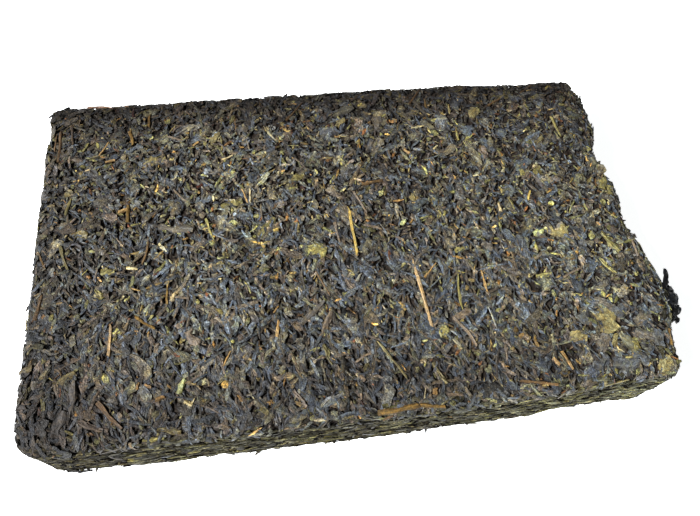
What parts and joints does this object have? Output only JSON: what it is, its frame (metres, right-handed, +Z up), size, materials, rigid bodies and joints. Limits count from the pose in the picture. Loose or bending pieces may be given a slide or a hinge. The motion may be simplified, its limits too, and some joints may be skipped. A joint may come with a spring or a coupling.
{
  "type": "pressed tea brick",
  "caption": "Flat rectangular brick of pressed dark tea leaves and stalks with worn edges and one ragged end, lying on its wide face.",
  "frame": {"origin": "under the middle of the solid's box, on the flat underside that the brick lies on", "axes": "+X along the length towards the ragged end, +Y along the depth towards the back, +Z up through the thickness"},
  "size_m": [0.2498, 0.1528, 0.0357],
  "materials": {
    "pressed_tea": null
  },
  "bodies": {
    "root": {"tea_brick": "pressed_tea"}
  },
  "joints": []
}
